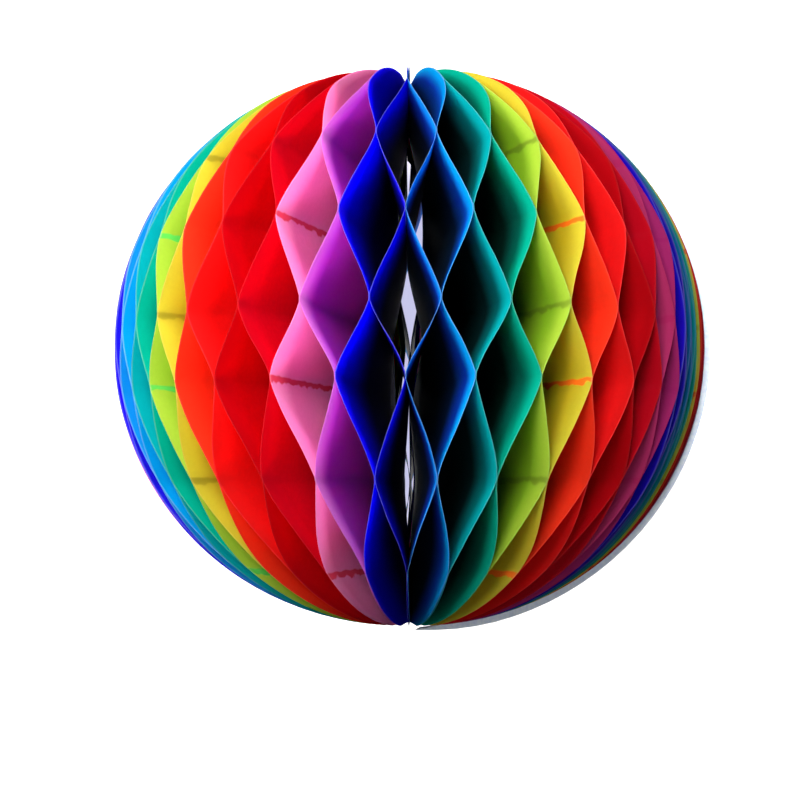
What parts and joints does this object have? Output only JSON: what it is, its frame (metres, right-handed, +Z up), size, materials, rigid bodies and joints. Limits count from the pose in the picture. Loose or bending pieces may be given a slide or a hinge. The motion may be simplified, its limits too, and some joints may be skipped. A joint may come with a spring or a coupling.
{
  "type": "honeycomb paper ball",
  "caption": "Round honeycomb ball of coloured tissue leaves, glued in staggered rows and fanned out round a spine into open diamond cells.",
  "frame": {"origin": "the middle of the ball, on the axis of its spine and at the height of its equator", "axes": "+Z up along the spine, -Y towards the side that faces the viewer in the picture, +X to the viewer's right"},
  "size_m": [0.2006, 0.2007, 0.1916],
  "materials": {
    "card": "smooth uncoated white card",
    "tissue_blue": "thin matte tissue paper, slightly see-through",
    "tissue_sky": "thin matte tissue paper, slightly see-through",
    "tissue_teal": "thin matte tissue paper, slightly see-through",
    "tissue_yellow": "thin matte tissue paper, slightly see-through",
    "tissue_orange": "thin matte tissue paper, slightly see-through",
    "tissue_red": "thin matte tissue paper, slightly see-through",
    "tissue_pink": "thin matte tissue paper, slightly see-through"
  },
  "bodies": {
    "root": {"card_first": "card", "card_last": "card", "pair_01_blue": "tissue_blue", "pair_02_sky": "tissue_sky", "pair_03_teal": "tissue_teal", "pair_04_yellow": "tissue_yellow", "pair_05_orange": "tissue_orange", "pair_06_red": "tissue_red", "pair_07_pink": "tissue_pink", "pair_08_blue": "tissue_blue", "pair_09_sky": "tissue_sky", "pair_10_teal": "tissue_teal", "pair_11_yellow": "tissue_yellow", "pair_12_orange": "tissue_orange", "pair_13_red": "tissue_red", "pair_14_pink": "tissue_pink", "pair_15_blue": "tissue_blue", "pair_16_sky": "tissue_sky", "pair_17_teal": "tissue_teal", "pair_18_yellow": "tissue_yellow", "pair_19_orange": "tissue_orange", "pair_20_red": "tissue_red", "pair_21_pink": "tissue_pink", "pair_22_blue": "tissue_blue", "pair_23_sky": "tissue_sky", "pair_24_teal": "tissue_teal", "pair_25_yellow": "tissue_yellow", "pair_26_orange": "tissue_orange", "pair_27_red": "tissue_red", "pair_28_pink": "tissue_pink", "pair_29_blue": "tissue_blue", "pair_30_sky": "tissue_sky", "pair_31_teal": "tissue_teal", "pair_32_yellow": "tissue_yellow", "pair_33_orange": "tissue_orange", "pair_34_red": "tissue_red", "pair_35_pink": "tissue_pink", "pair_36_blue": "tissue_blue", "pair_37_sky": "tissue_sky", "pair_38_teal": "tissue_teal", "pair_39_yellow": "tissue_yellow", "pair_40_orange": "tissue_orange", "pair_41_red": "tissue_red", "pair_42_pink": "tissue_pink"}
  },
  "joints": []
}
